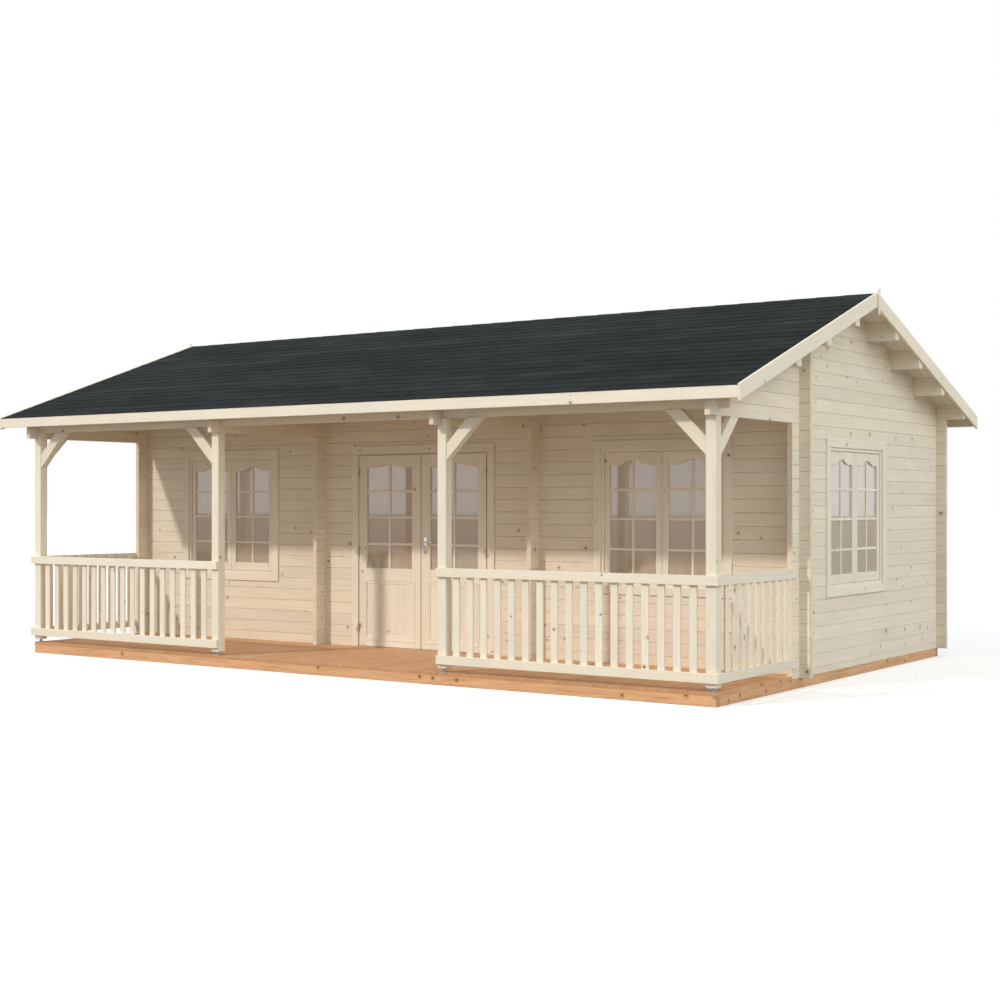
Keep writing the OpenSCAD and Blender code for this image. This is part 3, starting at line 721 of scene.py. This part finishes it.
def build_railings():
    """Two rails with balusters behind them, from post to post and along the sides."""
    lap = 0.004
    for side, word in SIDES:
        t = Timber()
        low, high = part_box("railing_front_" + word)
        for z in (low.z, high.z - RAIL_H):
            t.board((low.x, low.y, z), (high.x, low.y + RAIL_T, z + RAIL_H))
        for place in evenly(INNER_POST_X, OUTER_POST_X, 17, BALUSTER_W):
            x0, x1 = pair(side, place, place + BALUSTER_W)
            t.board((x0, low.y + RAIL_T, low.z + lap), (x1, high.y, high.z - lap), "z")
        t.finish("front_railing_" + word, ["railing_front_" + word], TRIM, chamfer=0.0025)
        t = Timber()
        low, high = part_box("railing_side_" + word)
        outer, inner = side * (BASE_HIGH.x + RAIL_T), side * BASE_HIGH.x
        for z in (low.z, high.z - RAIL_H):
            x0, x1 = sorted((inner, outer))
            t.board((x0, low.y, z), (x1, high.y, z + RAIL_H), "y")
        back = min(abs(low.x), abs(high.x))
        for place in evenly(POST_BACK, STUB_FRONT, 9, BALUSTER_W):
            x0, x1 = sorted((side * back, inner))
            t.board((x0, place, low.z + lap), (x1, place + BALUSTER_W, high.z - lap), "z")
        t.finish("side_railing_" + word, ["railing_side_" + word], TRIM, chamfer=0.0025)


def evenly(start, end, count, width):
    """Lower edges of boards spaced with equal gaps between two faces."""
    gap = (end - start - count * width) / (count + 1)
    return [start + gap + i * (gap + width) for i in range(count)]


def build_post_feet():
    """Screw feet: two plates with rounded corners, a threaded rod and a hexagon nut."""
    bm = bmesh.new()
    low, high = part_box("post_feet")
    plate, foot_size, head_size, corner = 0.006, 0.080, 0.070, 0.008
    crest, root, nut_r, nut_h, turns = 0.0100, 0.0086, 0.0170, 0.010, 7
    rod_low = low.z + plate
    rise = (high.z - plate - rod_low) / turns
    for node in POSTS:
        x, y = middle(node, "x"), middle(node, "y")
        for z, size in ((low.z, foot_size), (high.z - plate, head_size)):
            edges = block(bm, (x, y, z + plate / 2), (size, size, plate))
            ease(bm, [e for e in edges if rise_of(e) > plate / 2], corner, 4)
        for i in range(turns):
            cone(bm, (x, y, rod_low + (i + 0.5) * rise), crest, root, rise, 20)
        cone(bm, (x, y, rod_low + nut_h / 2), nut_r, nut_r, nut_h, 6)
    settle(bm, "screw_feet", ["post_feet"], STEEL)


# ---- Roof ----

VERGE_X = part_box("bargeboards_right")[1].x
SHEET_X = BOARDS_HIGH.x


def slope_frame(side):
    """A frame on one slope: first axis down the slope, second along the ridge, third out of the roof."""
    down = Vector((0, side * math.cos(PITCH), -math.sin(PITCH)))
    out = Vector((0, side * math.sin(PITCH), math.cos(PITCH)))
    turn = Matrix((down, out.cross(down), out)).transposed().to_4x4()
    return Matrix.Translation((0, 0, RIDGE_UNDER)) @ turn


def build_purlins():
    """Three rows on each slope, the rear ones further from the ridge, cut to the slope on top."""
    t = Timber()
    half, tall = 0.045, 0.155
    first_row, shift, row_pitch = 0.465, 0.060, 0.603
    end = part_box("purlins")[1].x
    for side in (-1, 1):
        for i in range(3):
            d = first_row + shift * side + row_pitch * i
            near, far, low = d - half, d + half, under_roof(d) - tall
            tops = [(a, under_roof(a) - PLAY) for a in (far, near)]
            t.shaped([(side * a, b) for a, b in [(near, low), (far, low)] + tops], -end, end, "x")
    t.finish("purlin_beams", ["purlins"], TRIM, chamfer=0.003)


def build_roof_boards():
    length = BOARDS_HIGH.y / math.cos(PITCH)
    count, gap, ridge_gap, eaves_gap = 93, 0.0008, 0.008, 0.001
    pitch = 2 * SHEET_X / count
    for side, word in SLOPES:
        t = Timber()
        on = slope_frame(side)
        for i in range(count):
            y0, y1 = -SHEET_X + i * pitch + gap / 2, -SHEET_X + (i + 1) * pitch - gap / 2
            t.board((ridge_gap, y0, 0), (length - eaves_gap, y1, BOARD_T), "x", on)
        name = "roof_boards_" + word + "_slope"
        t.finish(name, ["roof_boards_" + word], TRIM, chamfer=0.003, long_edges=True)


def build_shingles():
    """Courses of three-tab strips from the eaves up, each tab its own tone, over one under sheet."""
    cover_t, sheet_t, inset = 0.0065, 0.0012, 0.004
    show, tab, slot, thick, lap = 0.1435, 0.333, 0.006, 0.0024, 0.010
    shift, thin, short = 0.04, 0.01, 0.02
    length = (COVER_HIGH.y - (BOARD_T + cover_t) * math.sin(PITCH)) / math.cos(PITCH)
    base = BOARD_T + PLAY
    tilt = math.asin(thick / show)
    rows = int((length - short) / show) + 1
    for side, word in SLOPES:
        t = Timber()
        on = slope_frame(side)
        t.board((inset, -SHEET_X, base), (length - inset, SHEET_X, base + sheet_t), "x", on)
        for row in range(rows):
            low_edge = length - row * show
            back = min(show + lap, low_edge - inset)
            if back < short:
                continue
            at = on @ Matrix.Translation((low_edge, 0, base + thick)) @ Matrix.Rotation(-tilt, 4, "Y")
            start = -SHEET_X - (tab / 2 if row % 2 else 0) - (shift if row % 4 > 1 else 0)
            strip = dice.random()
            while start < SHEET_X:
                y0, y1 = max(start, -SHEET_X), min(start + tab - slot, SHEET_X)
                if y1 - y0 > thin:
                    tone = 0.55 * strip + 0.45 * dice.random()
                    seed = (dice.random(), dice.random(), tone)
                    t.board((-back, y0, 0), (0, y1, thick), "x", at, seed)
                start += tab
                if dice.random() < 0.3:
                    strip = dice.random()
        t.finish("shingles_" + word + "_slope", ["roof_cover_" + word], SHINGLES, chamfer=0)


def build_ridge():
    """Ridge strips folded over the apex, each lapping the one before."""
    t = Timber()
    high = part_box("ridge_cap")[1]
    reach, thick, length, lap = high.y, 0.003, 0.252, 0.05
    count = int((2 * SHEET_X - lap) / length) + 1
    step = (2 * SHEET_X - lap) / count
    turn = Matrix.Rotation(math.atan(thick / step), 4, "Y")
    fall = reach * SLOPE
    foot = -fall - thick
    outline = [(0, 0), (reach, -fall), (reach, foot), (0, -thick), (-reach, foot), (-reach, -fall)]
    for i in range(count):
        x = -SHEET_X + i * step
        at = Matrix.Translation((x, 0, high.z - 1.5 * thick)) @ turn
        t.shaped(outline, 0, min(step + lap, SHEET_X - x), "x", "x", at, seed=(0, 0, dice.random()))
    t.finish("ridge_strips", ["ridge_cap"], SHINGLES, chamfer=0)


def build_roof_edges():
    """Fascias along the eaves, two bargeboards on each verge and a batten over their joint."""
    t = Timber()
    low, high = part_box("eaves_fascias")
    thick, drop = 0.020, 0.127
    for side in (-1, 1):
        y0, y1 = pair(side, high.y - thick, high.y)
        t.board((low.x, y0, low.z), (high.x, y1, high.z))
    t.finish("fascia_boards", ["eaves_fascias"], TRIM, chamfer=0.0025)
    for word in ("left", "right"):
        t = Timber()
        low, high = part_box("bargeboards_" + word)
        foot = high.z - (high.y - PLAY) * SLOPE
        corners = [(PLAY, high.z), (high.y, foot), (high.y, foot - drop), (PLAY, high.z - drop)]
        for side in (-1, 1):
            run = slant((0, side * math.cos(PITCH), -math.sin(PITCH)))
            t.shaped([(side * a, b) for a, b in corners], low.x, high.x, "x", run)
        t.finish("verge_boards_" + word, ["bargeboards_" + word], TRIM, chamfer=0.0025)
    t = Timber()
    low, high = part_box("apex_battens")
    for side in (-1, 1):
        x0, x1 = pair(side, VERGE_X, high.x)
        t.board((x0, low.y, low.z), (x1, high.y, high.z), "z")
    t.finish("apex_covers", ["apex_battens"], TRIM, chamfer=0.003)


# ---- Windows and doors ----


def crown_curve(x0, x1, z, rise):
    """A glass head from right to left: level at its corners, raised by a smooth wave in the middle."""
    middle_x, wave, steps = (x0 + x1) / 2, 0.34 * (x1 - x0), 8
    points = [(x1, z)]
    for i in range(2 * steps + 1):
        t = 1 - i / steps
        points.append((middle_x + wave * t, z + rise * (1 + math.cos(math.pi * t)) / 2))
    return points + [(x0, z)]


def crowned_rail(t, x0, x1, z, top, rise, y0, y1, at):
    """A top rail whose lower edge follows the glass head."""
    t.shaped([(x0, top), (x1, top)] + crown_curve(x0, x1, z, rise), y0, y1, "y", "x", at)


def glazing_bars(t, x0, x1, z0, top, heights, y, at, wide=0.022, thick=0.024):
    """Slim bars over the glass: one upright in the middle, and level ones at each height."""
    mid, half, deep = (x0 + x1) / 2, wide / 2, thick / 2
    step = 0.001
    t.board((mid - half, y - deep + step, z0), (mid + half, y + deep - step, top), "z", at)
    for z in heights:
        t.board((x0, y - deep, z - half), (x1, y + deep, z + half), "x", at)


def build_window(word, nodes, at):
    """Casing outside and inside, lining, and a pair of sashes with crowned heads and bars."""
    t = Timber()
    half, top, wall = WINDOW_W / 2, WINDOW_Z + WINDOW_H, LOG_T / 2
    lining, board, lap = 0.042, 0.075, 0.014
    inner = half - lap
    outer = inner + board
    z0, z1 = WINDOW_Z + lap - board, top - lap + board
    for y0, y1 in ((-wall - CASING_T, -wall), (wall, wall + CASING_T)):
        t.board((-outer, y0, z1 - board), (outer, y1, z1), "x", at)
        t.board((-outer, y0, z0), (outer, y1, z0 + board), "x", at)
        for side in (-1, 1):
            x0, x1 = pair(side, inner, outer)
            t.board((x0, y0, z0 + board + HAIR), (x1, y1, z1 - board - HAIR), "z", at)
    t.board((-half, -wall, WINDOW_Z), (half, wall, WINDOW_Z + lining), "x", at)
    t.board((-half, -wall, top - lining), (half, wall, top), "x", at)
    for side in (-1, 1):
        x0, x1 = pair(side, half - lining, half)
        t.board((x0, -wall, WINDOW_Z + lining), (x1, wall, top - lining), "z", at)
    front, back, play, seam = -0.008, 0.028, 0.002, 0.0015
    meet, stile, foot_rail, head_rail, rise = 0.060, 0.050, 0.083, 0.118, 0.046
    low, high = WINDOW_Z + lining + play, top - lining - play
    glass_low, glass_top = WINDOW_Z + lining + foot_rail, top - lining - head_rail
    glass_out = half - lining - stile
    bars = (1.121, 1.390, 1.651)
    for side in (-1, 1):
        for a, b in ((seam, meet), (glass_out, half - lining - play)):
            x0, x1 = pair(side, a, b)
            t.board((x0, front, low), (x1, back, high), "z", at)
        x0, x1 = pair(side, meet, glass_out)
        t.board((x0, front + HAIR, low), (x1, back - HAIR, glass_low), "x", at)
        crowned_rail(t, x0, x1, glass_top, high, rise, front + HAIR, back - HAIR, at)
        glazing_bars(t, x0, x1, glass_low, glass_top + rise, bars, (front + back) / 2, at)
    t.finish("window_" + word, nodes, TRIM, chamfer=0.002)


def turned(x, y, angle):
    return Matrix.Translation((x, y, 0)) @ Matrix.Rotation(math.radians(angle), 4, "Z")


PIN = frame["record"]["behaviour"]["joints"][0]["pos_m"]
PIN_X, PIN_Y = abs(PIN[0] - DOOR_X), PIN[1]
LEAF_LOW, LEAF_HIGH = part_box("door_leaf_right")
LEAF_T, GLASS_IN = 0.040, 0.018
LEAF_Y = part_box("door_glass_right")[0].y - GLASS_IN
KNUCKLE_R, KNUCKLE_H = 0.007, 0.040


def hinge_heights():
    """The levels at which the leaf's knuckles sit on the frame's."""
    low, high, inset = LEAF_LOW.z, LEAF_HIGH.z, 0.180
    return [low + inset, (low + high) / 2, high - inset]


def build_door_frame():
    """Casing outside and inside, lining, threshold, the leaves' stop and its half of the hinges."""
    t = Timber()
    at = Matrix.Translation((DOOR_X, 0, 0))
    low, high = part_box("door_frame")
    half, wall, lining, lap = DOOR_W / 2, LOG_T / 2, 0.020, 0.010
    stop_w, step = 0.014, 0.001
    inner, outer = half - lap, (high.x - low.x) / 2
    front, back = FRONT_Y - wall, FRONT_Y + wall
    head, sill_top, stop = DOOR_TOP - lining, LEAF_LOW.z - RUN, LEAF_Y + LEAF_T + RUN
    for y0, y1 in ((front - CASING_T, front), (back, back + CASING_T)):
        t.board((-outer, y0, DOOR_TOP - lap), (outer, y1, high.z), "x", at)
        for side in (-1, 1):
            x0, x1 = pair(side, inner, outer)
            t.board((x0, y0, DECK_HIGH.z + step), (x1, y1, DOOR_TOP - lap - HAIR), "z", at)
    t.board((-half, front - step, low.z), (half, back + step, sill_top), "x", at)
    t.board((-half, front, head), (half, back, DOOR_TOP), "x", at)
    t.board((-half + lining, stop, head - stop_w), (half - lining, back, head), "x", at)
    for side in (-1, 1):
        x0, x1 = pair(side, half - lining, half)
        t.board((x0, front, sill_top), (x1, back, head), "z", at)
        x0, x1 = pair(side, half - lining - stop_w, half - lining)
        t.board((x0, stop, sill_top), (x1, back, head - stop_w), "z", at)
    t.finish("door_casing", ["door_frame"], TRIM, chamfer=0.002)
    bm = bmesh.new()
    wing_w, wing_y0, wing_y1 = 0.032, front - 0.018, front - 0.0155
    for side in (-1, 1):
        pin = DOOR_X + side * PIN_X
        for z in hinge_heights():
            knuckle(bm, pin, z - KNUCKLE_H, z)
            wing(bm, pin, pin + side * wing_w, wing_y0, wing_y1, z - KNUCKLE_H, z)
    settle(bm, "frame_hinges", [], HINGE_STEEL)


def knuckle(bm, x, z0, z1):
    """A hinge barrel with eased rims."""
    level = 1e-6
    edges = cone(bm, (x, PIN_Y, (z0 + z1) / 2), KNUCKLE_R, KNUCKLE_R, z1 - z0, 20)
    ease(bm, [e for e in edges if rise_of(e) < level], 0.001, 2)


def wing(bm, x0, x1, y0, y1, z0, z1):
    """A hinge leaf with three screw heads."""
    x0, x1 = sorted((x0, x1))
    x, step = (x0 + x1) / 2, (z1 - z0) / 3
    ease(bm, block(bm, (x, (y0 + y1) / 2, (z0 + z1) / 2), (x1 - x0, y1 - y0, z1 - z0)), 0.0006, 1)
    for i in range(3):
        spot = Matrix.Translation((x, y0 - PLAY, z0 + (i + 0.5) * step))
        cone(bm, spot @ Matrix.Rotation(math.pi / 2, 4, "X"), 0.0028, 0.0034, 0.0012, 10)


def build_door_leaf(word, side):
    """Stiles, rails, a boarded panel in a bead, a crowned glass opening with bars, and its hinges."""
    t = Timber()
    body = "door_" + word
    near, far = LEAF_LOW.x - DOOR_X, PIN_X - RUN
    low, high = LEAF_LOW.z, LEAF_HIGH.z
    front, back = LEAF_Y, LEAF_Y + LEAF_T
    meet, stile, foot_rail, lock_rail = 0.112, 0.095, 0.110, 0.155
    glass_low, glass_top, rise = low + 0.774, high - 0.123, 0.036
    boards, panel_in, tongue = 6, 0.006, 0.002

    def span(a, b):
        return sorted((DOOR_X + side * a, DOOR_X + side * b))

    for a, b in ((near, meet), (far - stile, far)):
        x0, x1 = span(a, b)
        t.board((x0, front, low), (x1, back, high), "z")
    x0, x1 = span(meet, far - stile)
    t.board((x0, front + HAIR, low), (x1, back - HAIR, low + foot_rail))
    t.board((x0, front + HAIR, glass_low - lock_rail), (x1, back - HAIR, glass_low))
    crowned_rail(t, x0, x1, glass_top, high, rise, front + HAIR, back - HAIR, Matrix())
    bars = (1.129, 1.393, 1.647)
    glazing_bars(t, x0, x1, glass_low, glass_top + rise, bars, front + LEAF_T / 2, Matrix(), 0.024, 0.028)
    panel_low, panel_high = low + foot_rail - tongue, glass_low - lock_rail + tongue
    for i in range(boards):
        a = x0 + (x1 - x0) * i / boards
        b = x0 + (x1 - x0) * (i + 1) / boards
        t.board((a, front + panel_in, panel_low), (b, back - panel_in, panel_high), "z")
    bead0, bead1, bead_low, bead_high, bead = 0.067, 0.702, 0.174, 0.788, 0.024
    for y0, y1 in ((front - 0.004, front + 0.008), (back - 0.008, back + 0.003)):
        x0, x1 = span(bead0, bead1)
        t.board((x0, y0, bead_low), (x1, y1, bead_low + bead))
        t.board((x0, y0, bead_high - bead), (x1, y1, bead_high))
        for a, b in ((bead0, bead0 + bead), (bead1 - bead, bead1)):
            x0, x1 = span(a, b)
            t.board((x0, y0, bead_low + bead), (x1, y1, bead_high - bead), "z")
    t.finish("leaf_" + word, ["door_leaf_" + word], TRIM, body, 0.002)
    bm = bmesh.new()
    pin = DOOR_X + side * PIN_X
    wing_x0, wing_x1 = DOOR_X + side * (far - 0.030), pin - side * 0.002
    for z in hinge_heights():
        knuckle(bm, pin, z + PLAY, z + KNUCKLE_H)
        wing(bm, wing_x0, wing_x1, front - 0.0026, front + 0.0004, z + PLAY, z + KNUCKLE_H)
    settle(bm, "leaf_hinges_" + word, [], HINGE_STEEL, body)


def rod(bm, points, radii, sides=18):
    """A round bar through points, with its radius at each, closed at both ends."""
    rings = []
    for i, (point, radius) in enumerate(zip(points, radii)):
        ahead = Vector(points[min(i + 1, len(points) - 1)]) - Vector(points[max(i - 1, 0)])
        place = Matrix.Translation(point) @ ahead.to_track_quat("Z", "Y").to_matrix().to_4x4()
        rings.append(bmesh.ops.create_circle(bm, segments=sides, radius=radius, matrix=place)["verts"])
    for a, b in zip(rings, rings[1:]):
        edges = [e for e in {e for v in a + b for e in v.link_edges} if len(e.link_faces) < 2]
        edges = [e for e in edges if all(v in a for v in e.verts) or all(v in b for v in e.verts)]
        bmesh.ops.bridge_loops(bm, edges=edges)
    for ring in (rings[0], rings[-1]):
        rim = [e for e in {e for v in ring for e in v.link_edges} if len(e.link_faces) == 1]
        bmesh.ops.contextual_create(bm, geom=rim)


def build_handle():
    """Lever handles on long plates, one each side of the leaf, with a key escutcheon below."""
    bm = bmesh.new()
    x, z = DOOR_X + 0.056, 1.152
    plate_w, plate_t, plate_h, plate_drop, key_drop = 0.034, 0.006, 0.160, 0.030, 0.072
    # The lever's middle line: along the leaf, out from its face, up, and its radius there.
    lever = [
        (0, 0.006, 0, 0.0085), (0, 0.026, 0, 0.0080), (0.002, 0.032, 0, 0.0082), (0.006, 0.039, 0, 0.0084),
        (0.014, 0.042, 0, 0.0084), (0.040, 0.042, 0.001, 0.0080), (0.080, 0.042, 0, 0.0076),
        (0.108, 0.041, -0.002, 0.0080), (0.114, 0.040, -0.0025, 0.0050),
    ]
    radii = [spot[3] for spot in lever]
    for way, face in ((-1, LEAF_Y), (1, LEAF_Y + LEAF_T)):
        plate = block(bm, (x, face + way * plate_t / 2, z - plate_drop), (plate_w, plate_t, plate_h))
        ease(bm, plate, 0.0028, 3)
        rod(bm, [(x + along, face + way * out, z + up) for along, out, up, _ in lever], radii)
        for level, out, radius, sides in ((z, 0.010, 0.0135, 24), (z - key_drop, 0.009, 0.0085, 20)):
            rod(bm, [(x, face + way * 0.004, level), (x, face + way * out, level)], [radius] * 2, sides)
    bmesh.ops.recalc_face_normals(bm, faces=bm.faces[:])
    piece = settle(bm, "lever_handles", ["door_handle"], CHROME, "door_right")
    for polygon in piece.data.polygons:
        polygon.use_smooth = True
    piece.data.set_sharp_from_angle(angle=math.radians(35))


# ---- Put together ----

build_base()
build_deck()
build_floor()
build_walls()
build_posts()
build_braces()
build_railings()
build_post_feet()
build_purlins()
build_roof_boards()
build_shingles()
build_ridge()
build_roof_edges()
build_window("front_left", ["window_front_left"], turned(-WINDOW_X, FRONT_Y, 0))
build_window("front_right", ["window_front_right"], turned(WINDOW_X, FRONT_Y, 0))
build_window("gable_left", ["window_gable_left"], turned(-GABLE_X, WINDOW_Y, -90))
build_window("gable_right", ["window_gable_right"], turned(GABLE_X, WINDOW_Y, 90))
build_door_frame()
build_door_leaf("left", -1)
build_door_leaf("right", 1)
build_handle()

for node in ("window_glass", "door_glass_left", "door_glass_right"):
    panes = frame["nodes"][node]
    panes.data.materials.clear()
    panes.data.materials.append(GLASS)


# ---- Floor, light and camera ----


def build_stage():
    """A pale floor and an even sky, which look white to the camera and light the cabin more softly."""
    bm = bmesh.new()
    under = Matrix.Translation((0, 0, -0.001))
    bmesh.ops.create_grid(bm, x_segments=1, y_segments=1, size=160.0, matrix=under)
    mesh = bpy.data.meshes.new("studio_floor")
    bm.to_mesh(mesh)
    bm.free()
    floor = bpy.data.objects.new("studio_floor", mesh)
    bpy.context.scene.collection.objects.link(floor)
    mat, tree, feed = surface("pale_floor", Roughness=0.95, Emission_Color=(1, 1, 1, 1))
    seen = put(tree, "ShaderNodeLightPath")
    pale = blend(tree, seen.outputs["Is Camera Ray"], (0.34, 0.31, 0.27, 1), (0.86, 0.86, 0.86, 1))
    feed("Base Color", pale)
    lift = scaled(tree, seen.outputs["Is Camera Ray"], 0.30)
    feed("Emission Strength", lift)
    mesh.materials.append(mat)

    world = bpy.data.worlds.new("studio")
    bpy.context.scene.world = world
    world.use_nodes = True
    tree = world.node_tree
    tree.nodes.clear()
    seen = put(tree, "ShaderNodeLightPath")
    direct = calc(tree, "MAXIMUM", seen.outputs["Is Camera Ray"], seen.outputs["Is Transmission Ray"])
    direct = calc(tree, "MAXIMUM", direct, seen.outputs["Is Glossy Ray"])
    strength = scaled(tree, direct, 0.34, 0.66)
    tint = blend(tree, direct, (0.965, 0.985, 1.0, 1), (1, 1, 1, 1))
    sky = put(tree, "ShaderNodeBackground", {"Color": tint, "Strength": strength})
    put(tree, "ShaderNodeOutputWorld", {"Surface": sky.outputs[0]})

    add_sun("key", strength=1.78, spread=2.5, colour=(1.0, 0.94, 0.86), bearing=27.7, height=33)
    add_sun("fill", strength=1.15, spread=50, colour=(0.94, 1.0, 0.98), bearing=-78, height=24)


def add_sun(name, strength, spread, colour, bearing, height):
    """A distant light. It shines towards a bearing, clockwise from straight back, from a height."""
    light = bpy.data.lights.new(name, "SUN")
    light.energy = strength
    light.angle = math.radians(spread)
    light.color = colour
    lamp = bpy.data.objects.new(name, light)
    way, drop = math.radians(bearing), math.tan(math.radians(height))
    lamp.rotation_euler = Vector((math.sin(way), math.cos(way), -drop)).to_track_quat("-Z", "Y").to_euler()
    bpy.context.scene.collection.objects.link(lamp)


def build_camera():
    data = bpy.data.cameras.new("camera")
    data.sensor_width = 36
    data.lens = 57.13
    data.clip_end = 400
    camera = bpy.data.objects.new("camera", data)
    camera.location = (9.2993, -13.2185, 1.5333)
    camera.rotation_euler = (math.radians(90.108), 0, math.radians(34.56))
    bpy.context.scene.collection.objects.link(camera)
    bpy.context.scene.camera = camera


build_stage()
build_camera()
bpy.context.scene.view_settings.view_transform = "Standard"
